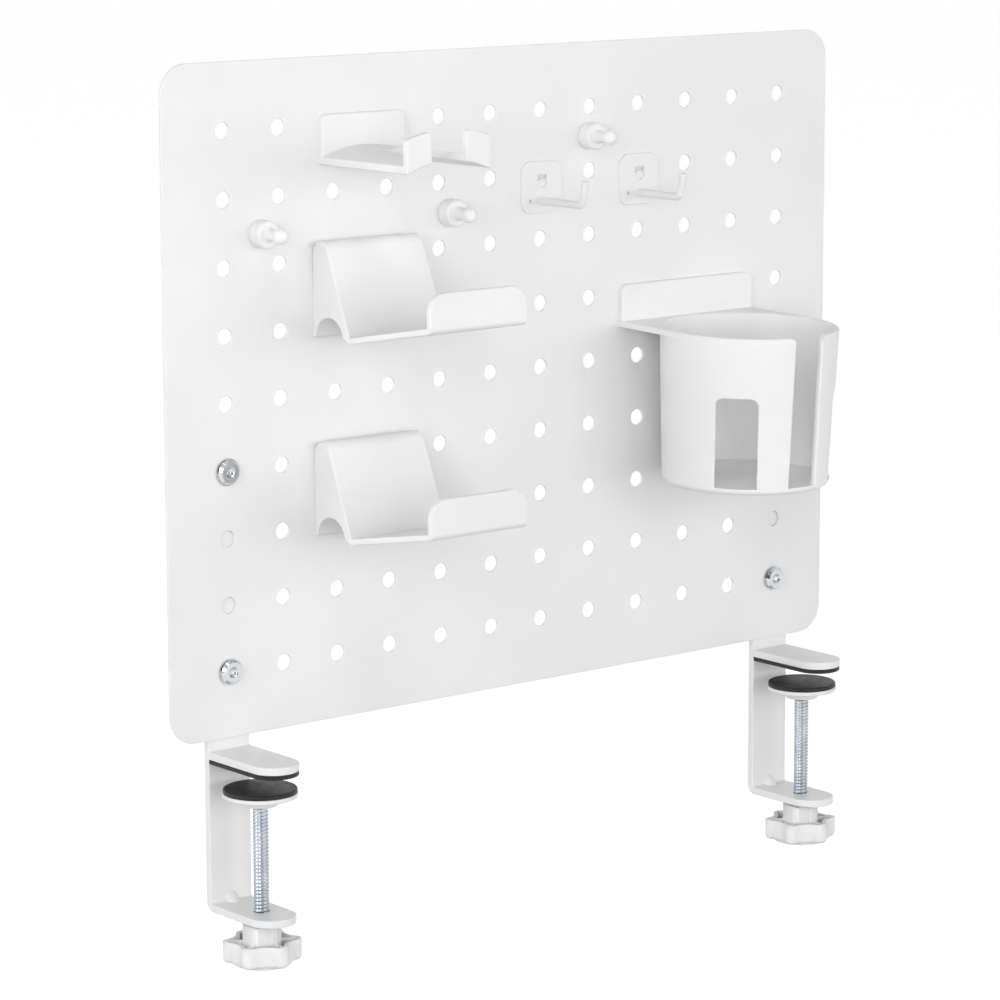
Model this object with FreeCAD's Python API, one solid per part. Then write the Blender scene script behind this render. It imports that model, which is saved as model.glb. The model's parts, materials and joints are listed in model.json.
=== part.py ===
import FreeCAD, Part
import math
import os
from FreeCAD import Vector

# Clamp-on desk pegboard with push-in accessories.
# Millimetres.  The origin is the centre of the hole grid on the board's front
# face, +X to the right, +Y to the back of the board, +Z up.

# ---------------------------------------------------------------- board
pitch = 25.4
columns = 12
rows = 9
hole_d = 6.35
board_t = 1.2
board_edge_x = 27.3          # outer hole column to the board's side edge
board_edge_z = 25.4          # outer hole row to the top or bottom edge
board_corner_r = 11.5

# ---------------------------------------------------------------- brackets
strip_w = 19.0
strip_t = 3.0
strip_top_rise = 8.5         # strip above its upper bolt
strip_corner_r = 3.0
bend_inner_r = 1.0
bolt_row_top = 5
bolt_row_bottom = 8
jaw_drop = 4.5               # board's lower edge to the upper jaw's top
jaw_spacing = 56.3           # upper jaw's underside to the lower jaw's top
upper_jaw_reach = 36.8       # in front of the board's front face
lower_jaw_reach = 33.9
tenon_w = 10.0
jaw_pad_t = 1.7
jaw_pad_inset = 0.1
jaw_pad_edge_r = 0.3
gusset_r = 2.8
steel_edge_r = 0.4           # stamped edges under their paint

# ---------------------------------------------------------------- bolts
bolt_d = 5.0
bolt_len = 10.0
bolt_head_d = 9.5
bolt_head_h = 2.7
bolt_rim_h = 0.7             # straight side under the dome
bolt_crown_d = 5.2
bolt_rim_r = 0.8
bolt_crown_r = 1.6
bolt_socket_af = 3.0
bolt_socket_depth = 1.5
bolt_hole_d = 5.5
washer_d = 10.4
washer_t = 0.8
washer_bore_d = 5.3
nut_af = 8.0
nut_t = 4.0
nut_chamfer = 0.6

# ---------------------------------------------------------------- clamp screw
screw_d = 6.0
screw_y = -18.4              # screw axis, in front of the board's front face
screw_clear = 0.05           # radial, in the lower jaw
clamp_gap = 6.7              # between jaw pad and rubber disc
disc_d = 28.0
disc_t = 1.7
disc_edge_r = 0.5
dish_d = 28.6
dish_rim_t = 1.8
dish_lip_r = 0.3
dish_rim_r = 0.8
dish_hub_h = 3.3             # below the rim
dish_hub_top_d = 15.0
dish_hub_tip_d = 13.0
dish_hub_root_r = 1.0
dish_hub_tip_r = 0.8
ball_r = 2.8
ball_clear = 0.05
ball_depth = 1.5             # ball centre above the hub's tip
stud_neck_d = 3.8
stud_neck_h = 0.7            # hub tip to the screw's end
stud_shank_d = 2.8
stud_shank_len = 6.0
stud_clear = 0.15            # radial, in the screw's drilled end
stud_bottom_gap = 0.5        # shank's end to the bottom of the drilled end
knob_gap = 2.0               # lower jaw's underside to the knob's hub
knob_hub_d = 14.6
knob_hub_h = 6.0
knob_h = 8.3
knob_across = 29.8
knob_tips = 6
knob_tip_r = 3.0
knob_valley_r = 11.6         # axis to the middle of a flank
knob_wall = 1.6
knob_rib_t = 1.4
knob_pocket_depth = 4.2
knob_floor = 3.7             # below the screw's end
knob_edge_r = 1.8
knob_foot_d = 22.4           # round pad under the star
knob_foot_h = 0.8
knob_foot_r = 0.6

# ---------------------------------------------------------------- pegs
peg_clear = 0.12             # radial, in a board hole
peg_len = 6.5
peg_chamfer = 0.8
peg_slit = 1.1
peg_slit_start = 2.2

# ---------------------------------------------------------------- phone rests
rest_w = 46.0
rest_wall = 2.4
rest_h = 37.2
rest_above_pegs = 6.8        # fold's top above the peg row
rest_foot_y = 22.7           # slope's foot in front of the board
rest_foot_rise = 3.2         # slope's foot above the wedge's underside
rest_slope = 23.2            # degrees from upright
rest_fold_r = 4.75
rest_floor_len = 46.3
rest_floor_rise = 10.2       # degrees
rest_lip_h = 12.8
rest_lip_corner_r = 7.5
rest_edge_r = 0.7            # inner corners
rest_outline_r = 0.6         # edges of the outline, lip included
rest_back_r = 1.2            # lower back edge
rest_toe_r = 1.6
rest_toe_y = 0.6             # toe behind the slope's foot
rest_arch_r = 8.8
rest_arch_y = 9.9
rest_arch_rise = 0.6         # arch's centre above the wedge's underside
rest_heel_rise = 2.6         # arch runs out into the slope's back at this height
rest_columns = (2, 3)
rest_rows = (2, 5)

# ---------------------------------------------------------------- headphone hanger
hanger_w = 39.6
hanger_wall = 2.8
hanger_plate_t = 2.6
hanger_above_pegs = 3.8
hanger_plate_h = 18.9
hanger_depth = 54.4
hanger_arch_r = 52.0
hanger_arch_drop = 12.0      # plate's top to the crown of the arch
hanger_tab_h = 9.0           # above the arch
hanger_slot_w = 16.2
hanger_slot_start = 23.0     # slot's round end in front of the board
hanger_corner_r = 3.0
hanger_tab_r = 1.6           # tabs' upper corners
hanger_edge_r = 0.6
hanger_columns = (2, 3)
hanger_row = 0

# ---------------------------------------------------------------- cup holder
cup_rim_r = 35.9
cup_taper = 2.3              # rim radius less foot radius
cup_setback = 3.0            # board to the rim
cup_wall = 2.0
cup_h = 62.9
cup_base_t = 2.5
cup_foot_edge_r = 2.0
cup_rim_edge_r = 0.8
cup_floor_edge_r = 1.0
cup_window_edge_r = 0.6
cup_lean = 1.5               # degrees, cup and shelf tip forward
cup_shelf_t = 2.3
cup_plate_t = 2.5
cup_plate_w = 71.0
cup_plate_h = 17.0
cup_above_pegs = 4.0
cup_corner_r = 3.5
cup_plate_edge_r = 0.7
cup_slot_w = 13.6
cup_slot_corner_r = 3.4
cup_slot_edge_r = 0.8
cup_window_w = 16.9
cup_window_h = 36.2          # above the base plate
cup_window_turn = 50.0       # degrees either side of the slot
cup_window_corner_r = 3.3
cup_columns = (8, 9, 10)
cup_row = 3

# ---------------------------------------------------------------- hooks
hook_plate = 20.4
hook_plate_t = 1.0
hook_corner_r = 4.5
hook_edge_r = 0.35
hook_drop = 4.9              # plate's centre below its board hole
hook_rod_d = 3.0
hook_rod_below = 5.5         # rod below the plate's centre
hook_reach = 23.2
hook_bend_r = 2.2
hook_rise = 8.2
hook_tip_r = 0.7
hook_lean = 14.4             # degrees, upturned end leans forward
hook_tongue_w = 5.1
hook_tongue_h = 6.2
hook_tongue_root = 0.8       # tongue's root above the board hole's centre
hook_tongue_web = 0.6        # metal kept at the root
hook_tongue_reach = 8.0      # tongue's end at most this far behind the plate's front
hook_tongue_push = 38.0      # degrees from the plate
hook_pinhole_d = 1.5
hook_pinhole_x = -6.1
hook_pinhole_z = -5.4
hook_columns = (6, 8)
hook_row = 1

# ---------------------------------------------------------------- push pins
pin_base_d = 10.5
pin_base_len = 6.0
pin_neck_d = 4.6
pin_ball_d = 6.1
pin_len = 15.7
pin_edge_r = 0.7
pin_waist_share = 0.45       # waist's place between the drum and the ball's centre
pin_meet = 38.0              # degrees below the ball's equator, where the neck ends
magnet_d = 8.0
magnet_t = 2.5
pin_spots = ((-123.0, 62.6), (-33.4, 64.4), (37.2, 90.0))

# ---------------------------------------------------------------- derived
board_w = (columns - 1) * pitch + 2 * board_edge_x
board_h = (rows - 1) * pitch + 2 * board_edge_z
board_bottom = -board_h / 2
upper_jaw_top = board_bottom - jaw_drop
upper_jaw_under = upper_jaw_top - strip_t
lower_jaw_top = upper_jaw_under - jaw_spacing
lower_jaw_under = lower_jaw_top - strip_t
disc_top = upper_jaw_under - jaw_pad_t - clamp_gap
dish_top = disc_top - disc_t
dish_rim_under = dish_top - dish_rim_t
dish_tip = dish_rim_under - dish_hub_h
ball_z = dish_tip + ball_depth
screw_top = dish_tip - stud_neck_h
knob_top = lower_jaw_under - knob_gap
knob_body_top = knob_top - knob_hub_h
knob_bottom = knob_body_top - knob_h
screw_bottom = knob_bottom + knob_floor
peg_r = hole_d / 2 - peg_clear
cup_foot_r = cup_rim_r - cup_taper
cup_axis_y = -(cup_rim_r + cup_setback)
gusset_dent_r = strip_t * (math.sqrt(2) - 1) + gusset_r   # keeps the strip's thickness
sharp_cosine = 0.94          # faces that turn more than 20 degrees meet in a sharp edge
past = 1.0                   # cutters run this far past a face


# ================================================================ helpers
def column_x(column):
    return (column - (columns - 1) / 2) * pitch


def row_z(row):
    return ((rows - 1) / 2 - row) * pitch


def rounded_wire(points, radii, place):
    """Closed wire through 2-D points; each corner is rounded to its radius."""
    count = len(points)
    starts, ends, mids = [], [], []
    for i in range(count):
        corner = Vector(points[i][0], points[i][1], 0)
        back = Vector(points[i - 1][0], points[i - 1][1], 0).sub(corner).normalize()
        ahead = Vector(points[(i + 1) % count][0], points[(i + 1) % count][1], 0)
        ahead = ahead.sub(corner).normalize()
        if radii[i] <= 0:
            starts.append(corner)
            ends.append(corner)
            mids.append(None)
            continue
        half = math.acos(max(-1.0, min(1.0, back.dot(ahead)))) / 2
        trim = radii[i] / math.tan(half)
        starts.append(corner + back * trim)
        ends.append(corner + ahead * trim)
        inward = (back + ahead).normalize()
        mids.append(corner + inward * (radii[i] / math.sin(half) - radii[i]))
    edges = []
    for i in range(count):
        if mids[i] is not None:
            arc = Part.Arc(place(*starts[i][:2]), place(*mids[i][:2]), place(*ends[i][:2]))
            edges.append(arc.toShape())
        following = starts[(i + 1) % count]
        if ends[i].distanceToPoint(following) > 1e-6:
            edges.append(Part.makeLine(place(*ends[i][:2]), place(*following[:2])))
    return Part.Wire(edges)


def prism(points, radii, place, along):
    return Part.Face(rounded_wire(points, radii, place)).extrude(along)


def flat_xz(y):
    return lambda x, z: Vector(x, y, z)


def flat_yz(x):
    return lambda y, z: Vector(x, y, z)


def box(x0, x1, y0, y1, z0, z1):
    return Part.makeBox(x1 - x0, y1 - y0, z1 - z0, Vector(x0, y0, z0))


def rod_y(x, z, radius, y0, y1):
    return Part.makeCylinder(radius, y1 - y0, Vector(x, y0, z), Vector(0, 1, 0))


def rod_z(x, y, radius, z0, z1):
    return Part.makeCylinder(radius, z1 - z0, Vector(x, y, z0), Vector(0, 0, 1))


def rectangle(u0, u1, v0, v1):
    return [(u0, v0), (u1, v0), (u1, v1), (u0, v1)]


def rounded_plate(x, z, width, height, y_front, thickness, radius, edge_r):
    """Plate parallel to the board, centred on x, z, with round corners and a soft front edge."""
    outline = rectangle(x - width / 2, x + width / 2, z - height / 2, z + height / 2)
    plate = prism(outline, [radius] * 4, flat_xz(y_front), Vector(0, thickness, 0))
    return soften(plate, edge_r, lambda p: p.y < y_front + 1e-3)


def hexagon_y(x, z, across_flats, y0, y1):
    reach = across_flats / math.sqrt(3)
    corners = []
    for i in range(6):
        turn = math.radians(60 * i)
        corners.append((x + reach * math.cos(turn), z + reach * math.sin(turn)))
    return prism(corners, [0] * 6, flat_xz(y0), Vector(0, y1 - y0, 0))


def revolve(points, radii, centre, axis):
    """Turn a (radius, height) profile about an axis through centre."""
    if axis == "z":
        def place(r, h):
            return centre + Vector(r, 0, h)
        direction = Vector(0, 0, 1)
    else:
        def place(r, h):
            return centre + Vector(r, -h, 0)
        direction = Vector(0, 1, 0)
    face = Part.Face(rounded_wire(points, radii, place))
    return face.revolve(centre, direction, 360)


def fillet_where(solid, radius, wanted):
    chosen = [edge for edge in solid.Edges if wanted(edge)]
    return solid.makeFillet(radius, chosen)


def soften(solid, radius, wanted):
    """Round each sharp edge whose middle is wanted; edges between tangent faces are left."""
    def is_sharp(edge):
        middle = edge.valueAt((edge.FirstParameter + edge.LastParameter) / 2)
        faces = solid.ancestorsOfType(edge, Part.Face)
        if len(faces) != 2:
            return False
        one, other = [face.normalAt(*face.Surface.parameter(middle)) for face in faces]
        return one.dot(other) < sharp_cosine

    return fillet_where(solid, radius, lambda e: is_sharp(e) and wanted(e.CenterOfMass))


def edge_is_along(edge, axis):
    if len(edge.Vertexes) != 2:
        return False
    run = edge.Vertexes[1].Point.sub(edge.Vertexes[0].Point)
    return run.Length > 1e-6 and abs(run.normalize().dot(axis)) > 0.999


def save(name, shape):
    solids = shape.Solids
    if len(solids) == 1:
        shape = solids[0]
    shape = shape.removeSplitter()
    print(name, "solids", len(shape.Solids), "valid", shape.isValid(),
          "volume", round(shape.Volume, 1))
    shape.exportStep("parts/" + name + ".step")


# ================================================================ board
def make_board():
    outline = rectangle(-board_w / 2, board_w / 2, -board_h / 2, board_h / 2)
    wires = [rounded_wire(outline, [board_corner_r] * 4, flat_xz(0))]
    for column in range(columns):
        for row in range(rows):
            centre = Vector(column_x(column), 0, row_z(row))
            wires.append(Part.Wire(Part.makeCircle(hole_d / 2, centre, Vector(0, 1, 0))))
    sheet = Part.makeFace(wires, "Part::FaceMakerCheese")
    return sheet.extrude(Vector(0, board_t, 0))


# ================================================================ desk clamps
def jaw_outline(x, reach, inset, y_rear):
    """Strip end in plan: straight sides and a half-round tip."""
    half = strip_w / 2 - inset
    tip = -reach + inset
    near = tip + half
    edges = [
        Part.makeLine(Vector(x - half, near, 0), Vector(x - half, y_rear, 0)),
        Part.makeLine(Vector(x - half, y_rear, 0), Vector(x + half, y_rear, 0)),
        Part.makeLine(Vector(x + half, y_rear, 0), Vector(x + half, near, 0)),
        Part.Arc(Vector(x + half, near, 0), Vector(x, tip, 0), Vector(x - half, near, 0)).toShape(),
    ]
    return Part.Face(Part.Wire(edges))


def make_bracket(x):
    """Upright strip behind the board, bent forward into the lower jaw."""
    front = board_t
    back = board_t + strip_t
    top = row_z(bolt_row_top) + strip_top_rise
    tip = -lower_jaw_reach - past
    side = [(front, top), (back, top), (back, lower_jaw_under), (tip, lower_jaw_under),
            (tip, lower_jaw_top), (front, lower_jaw_top)]
    radii = [0, 0, bend_inner_r + strip_t, 0, 0, bend_inner_r]
    strip = prism(side, radii, flat_yz(x - strip_w / 2), Vector(strip_w, 0, 0))
    plan = jaw_outline(x, lower_jaw_reach, 0, back + past)
    plan = plan.extrude(Vector(0, 0, top - lower_jaw_under + 2 * past))
    plan.translate(Vector(0, 0, lower_jaw_under - past))
    strip = strip.common(plan)
    strip = fillet_where(strip, strip_corner_r, lambda e: edge_is_along(e, Vector(0, 1, 0))
                         and e.CenterOfMass.z > row_z(bolt_row_top))
    strip = soften(strip, steel_edge_r, lambda p: True)
    for row in (bolt_row_top, bolt_row_bottom):
        strip = strip.cut(rod_y(x, row_z(row), bolt_hole_d / 2, front - past, back + past))
    strip = strip.cut(box(x - tenon_w / 2, x + tenon_w / 2, front - past, back + past,
                          upper_jaw_under, upper_jaw_top))
    strip = strip.cut(rod_z(x, screw_y, screw_d / 2 + screw_clear,
                            lower_jaw_under - past, lower_jaw_top + past))
    return press_gusset(strip, x)


def press_gusset(strip, x):
    """Stiffening dart pressed into the bend: a ridge inside, a dent outside."""
    slope = Vector(0, -1, -1).normalize()
    length = 4 * gusset_dent_r
    inner_corner = Vector(x, board_t, lower_jaw_top)
    outer_corner = Vector(x, board_t + strip_t, lower_jaw_under)
    ridge = Part.makeCylinder(gusset_r, length, inner_corner - slope * length / 2, slope)
    inside = box(x - gusset_r, x + gusset_r, board_t - length, board_t + strip_t / 2,
                 lower_jaw_top - strip_t / 2, lower_jaw_top + length)
    dent = Part.makeCylinder(gusset_dent_r, length, outer_corner - slope * length / 2, slope)
    return strip.fuse(ridge.common(inside)).cut(dent)


def make_upper_jaw(x):
    """Flat jaw with a tenon that goes through the strip and is welded flush."""
    jaw = jaw_outline(x, upper_jaw_reach, 0, board_t).extrude(Vector(0, 0, strip_t))
    jaw = soften(jaw, steel_edge_r, lambda p: p.y < board_t - 1e-3)
    jaw.translate(Vector(0, 0, upper_jaw_under))
    tenon = box(x - tenon_w / 2, x + tenon_w / 2, board_t, board_t + strip_t,
                upper_jaw_under, upper_jaw_top)
    return jaw.fuse(tenon)


def make_jaw_pad(x):
    pad = jaw_outline(x, upper_jaw_reach, jaw_pad_inset, board_t).extrude(Vector(0, 0, jaw_pad_t))
    pad = soften(pad, jaw_pad_edge_r, lambda p: p.y < board_t - 1e-3)
    pad.translate(Vector(0, 0, upper_jaw_under - jaw_pad_t))
    return pad


def make_bolt(x, z):
    """Button head screw with a hexagon socket, head in front of the board."""
    seat = -washer_t
    dome = [(0, 0), (bolt_head_d / 2, 0), (bolt_head_d / 2, bolt_rim_h),
            (bolt_crown_d / 2, bolt_head_h), (0, bolt_head_h)]
    head = revolve(dome, [0, 0, bolt_rim_r, bolt_crown_r, 0], Vector(x, seat, z), "y")
    socket = hexagon_y(x, z, bolt_socket_af, seat - bolt_head_h - past,
                       seat - bolt_head_h + bolt_socket_depth)
    shank = rod_y(x, z, bolt_d / 2, seat, seat + bolt_len)
    return head.cut(socket).fuse(shank)


def make_washer(x, z):
    ring = rod_y(x, z, washer_d / 2, -washer_t, 0)
    return ring.cut(rod_y(x, z, washer_bore_d / 2, -washer_t - past, past))


def make_nut(x, z):
    seat = board_t + strip_t
    blank = rod_y(x, z, nut_af / math.sqrt(3), seat, seat + nut_t)
    blank = blank.makeChamfer(nut_chamfer, [e for e in blank.Edges if len(e.Vertexes) == 1])
    nut = hexagon_y(x, z, nut_af, seat, seat + nut_t).common(blank)
    return nut.cut(rod_y(x, z, bolt_d / 2, seat - past, seat + nut_t + past))


def make_disc(x):
    disc = rod_z(x, screw_y, disc_d / 2, dish_top, disc_top)
    return fillet_where(disc, disc_edge_r, lambda e: e.CenterOfMass.z > (dish_top + disc_top) / 2
                        and len(e.Vertexes) == 1)


def make_dish(x):
    """Round thrust plate with a conical hub that snaps over the ball."""
    profile = [(0, dish_tip), (dish_hub_tip_d / 2, dish_tip), (dish_hub_top_d / 2, dish_rim_under),
               (dish_d / 2, dish_rim_under), (dish_d / 2, dish_top), (0, dish_top)]
    radii = [0, dish_hub_tip_r, dish_hub_root_r, dish_rim_r, dish_lip_r, 0]
    dish = revolve(profile, radii, Vector(x, screw_y, 0), "z")
    socket_r = ball_r + ball_clear
    socket = Part.makeSphere(socket_r, Vector(x, screw_y, ball_z))
    mouth = rod_z(x, screw_y, math.sqrt(socket_r ** 2 - ball_depth ** 2), dish_tip - past, dish_tip)
    return dish.cut(socket.fuse(mouth))


def make_stud(x):
    """Ball stud: ball in the dish, flat where it meets the screw, shank in its drilled end."""
    seat = math.degrees(math.asin((screw_top - ball_z) / ball_r))
    ball = Part.makeSphere(ball_r, Vector(x, screw_y, ball_z), Vector(0, 0, 1), seat, 90, 360)
    neck = rod_z(x, screw_y, stud_neck_d / 2, screw_top, ball_z)
    shank = rod_z(x, screw_y, stud_shank_d / 2, screw_top - stud_shank_len, screw_top)
    return ball.fuse(neck).fuse(shank)


def make_screw(x):
    screw = rod_z(x, screw_y, screw_d / 2, screw_bottom, screw_top)
    drilled = rod_z(x, screw_y, stud_shank_d / 2 + stud_clear,
                    screw_top - stud_shank_len - stud_bottom_gap, screw_top + past)
    return screw.cut(drilled)


def star_outline(x, inset, z):
    """Round tips joined by hollow flanks, all arcs tangent; inset moves it inward."""
    step = math.pi / knob_tips
    tip_centre = knob_across / 2 - knob_tip_r
    flank_r = ((tip_centre ** 2 + knob_valley_r ** 2
                - 2 * tip_centre * knob_valley_r * math.cos(step) - knob_tip_r ** 2)
               / (2 * (knob_tip_r + tip_centre * math.cos(step) - knob_valley_r)))
    flank_centre = knob_valley_r + flank_r
    tip_r = knob_tip_r - inset

    def at(radius, turn):
        return Vector(x + radius * math.cos(turn), screw_y + radius * math.sin(turn), z)

    def touch(tip_turn, flank_turn):
        tip = at(tip_centre, tip_turn)
        towards = at(flank_centre, flank_turn).sub(tip).normalize()
        return tip + towards * tip_r

    edges = []
    for i in range(knob_tips):
        turn = math.radians(30) + 2 * step * i
        before = touch(turn, turn - step)
        after = touch(turn, turn + step)
        upcoming = touch(turn + 2 * step, turn + step)
        edges.append(Part.Arc(before, at(tip_centre + tip_r, turn), after).toShape())
        edges.append(Part.Arc(after, at(knob_valley_r - inset, turn + step), upcoming).toShape())
    return Part.Face(Part.Wire(edges))


def make_knob(x):
    """Six-tipped star knob: hub on top, ribbed pockets open upward, pad below."""
    body = star_outline(x, 0, knob_bottom).extrude(Vector(0, 0, knob_h))
    body = fillet_where(body, knob_edge_r, lambda e: abs(e.CenterOfMass.z - knob_bottom) < 1e-3)
    floor_z = knob_body_top - knob_pocket_depth
    pocket = star_outline(x, knob_wall, floor_z).extrude(Vector(0, 0, knob_pocket_depth + past))
    pocket = pocket.cut(rod_z(x, screw_y, knob_hub_d / 2, floor_z - past, knob_body_top + 2 * past))
    for i in range(knob_tips):
        rib = box(0, knob_across, -knob_rib_t / 2, knob_rib_t / 2,
                  floor_z - past, knob_body_top + 2 * past)
        rib.rotate(Vector(0, 0, 0), Vector(0, 0, 1), 30 + i * 360 / knob_tips)
        rib.translate(Vector(x, screw_y, 0))
        pocket = pocket.cut(rib)
    hub = rod_z(x, screw_y, knob_hub_d / 2, floor_z, knob_top)
    foot = rod_z(x, screw_y, knob_foot_d / 2, knob_bottom - knob_foot_h, knob_bottom + past)
    foot = fillet_where(foot, knob_foot_r, lambda e: e.CenterOfMass.z < knob_bottom
                        and len(e.Vertexes) == 1)
    knob = body.cut(pocket).fuse(hub).fuse(foot)
    return knob.cut(rod_z(x, screw_y, screw_d / 2, screw_bottom, knob_top + past))


# ================================================================ push-in pegs
def make_peg(x, z):
    """Split peg that pushes straight into a board hole."""
    profile = [(0, 0), (peg_r, 0), (peg_r, -peg_len), (0, -peg_len)]
    peg = revolve(profile, [0] * 4, Vector(x, 0, z), "y")
    peg = peg.makeChamfer(peg_chamfer, [e for e in peg.Edges
                                        if e.CenterOfMass.y > peg_len / 2
                                        and len(e.Vertexes) == 1])
    slit = box(x - peg_slit / 2, x + peg_slit / 2, peg_slit_start, peg_len + past,
               z - peg_r - past, z + peg_r + past)
    return peg.cut(slit)


def centre_of(column_list):
    return sum(column_x(column) for column in column_list) / len(column_list)


# ================================================================ phone rests
def make_rest(row):
    """Wedge that leans the phone back, a rising floor and a front lip."""
    x = centre_of(rest_columns)
    z_top = row_z(row) + rest_above_pegs
    under = z_top - rest_h
    foot = (-rest_foot_y, under + rest_foot_rise)
    lean = math.tan(math.radians(rest_slope))
    rise = math.tan(math.radians(rest_floor_rise))
    apex = foot[1] + rest_foot_y / lean
    lip_in = -rest_foot_y - rest_floor_len
    lip_out = lip_in - rest_wall
    floor_t = rest_wall / math.cos(math.radians(rest_floor_rise))
    lip_floor = foot[1] + rest_floor_len * rise
    lip_top = lip_floor + rest_lip_h
    toe = -rest_foot_y + rest_toe_y
    centre = (-rest_arch_y, under + rest_arch_rise)
    heel_dz = rest_heel_rise - rest_arch_rise
    heel = (centre[0] - math.sqrt(rest_arch_r ** 2 - heel_dz ** 2), under + rest_heel_rise)
    side = [(0, under), (0, apex), foot, (lip_in, lip_floor), (lip_in, lip_top),
            (lip_out, lip_top), (lip_out, lip_floor + rest_wall * rise - floor_t),
            (toe, foot[1] - floor_t - rest_toe_y * rise), heel]
    radii = [rest_back_r, rest_fold_r, rest_edge_r, rest_edge_r, 0, 0, rest_wall, rest_toe_r, 0]
    rest = prism(side, radii, flat_yz(x - rest_w / 2), Vector(rest_w, 0, 0))
    rest = rest.cut(Part.makeCylinder(rest_arch_r, rest_w + 2 * past,
                                      Vector(x - rest_w / 2 - past, *centre), Vector(1, 0, 0)))
    low = under - rest_h
    window = prism(rectangle(x - rest_w / 2, x + rest_w / 2, low, lip_top),
                   [0, 0, rest_lip_corner_r, rest_lip_corner_r],
                   flat_xz(lip_out - past), Vector(0, rest_wall + 2 * past, 0))
    keep = window.fuse(box(x - rest_w, x + rest_w, lip_in + past / 2, past, low, apex + past))
    rest = soften(rest.common(keep), rest_outline_r, lambda p: p.y < -1e-3)
    for column in rest_columns:
        rest = rest.fuse(make_peg(column_x(column), row_z(row)))
    return rest


# ================================================================ headphone hanger
def make_hanger():
    """Back plate, arched shelf with a long slot, and two upturned tabs."""
    x = centre_of(hanger_columns)
    z_top = row_z(hanger_row) + hanger_above_pegs
    crown = z_top - hanger_arch_drop
    centre = Vector(x, 0, crown - hanger_arch_r)
    half = hanger_w / 2

    def arch_band(inner, outer, y_front, y_back):
        solid = rod_y(x, centre.z, outer, y_front, y_back)
        solid = solid.cut(rod_y(x, centre.z, inner, y_front - past, y_back + past))
        slab = box(x - half, x + half, y_front - past, y_back + past, centre.z, centre.z + outer)
        return solid.common(slab)

    slot_r = hanger_slot_w / 2
    slot = box(x - slot_r, x + slot_r, -hanger_depth - past, -hanger_slot_start - slot_r,
               centre.z, z_top + past)
    slot = slot.fuse(rod_z(x, -hanger_slot_start - slot_r, slot_r, centre.z, z_top + past))
    shelf = arch_band(hanger_arch_r - hanger_wall, hanger_arch_r, -hanger_depth, 0).cut(slot)
    tabs = arch_band(hanger_arch_r - hanger_wall, hanger_arch_r + hanger_tab_h,
                     -hanger_depth, -hanger_depth + hanger_wall).cut(slot)
    tabs = Part.makeCompound([fillet_where(tab, hanger_tab_r,
                                           lambda e: edge_is_along(e, Vector(0, 1, 0))
                                           and e.CenterOfMass.z > crown) for tab in tabs.Solids])
    plate = rounded_plate(x, z_top - hanger_plate_h / 2, hanger_w, hanger_plate_h,
                          -hanger_plate_t, hanger_plate_t, hanger_corner_r, hanger_edge_r)
    hanger = shelf.fuse(list(tabs.Solids)).removeSplitter()
    hanger = soften(hanger, hanger_edge_r, lambda p: p.y < -1e-3).fuse(plate)
    for column in hanger_columns:
        hanger = hanger.fuse(make_peg(column_x(column), row_z(hanger_row)))
    return hanger


# ================================================================ cup holder
def cup_cutter(outline, radii, turn):
    """Opening through the front wall, turned about the cup's axis."""
    cutter = prism(outline, radii, flat_xz(-cup_rim_r - past), Vector(0, cup_rim_r, 0))
    cutter.rotate(Vector(0, 0, 0), Vector(0, 0, 1), turn)
    return cutter


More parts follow.
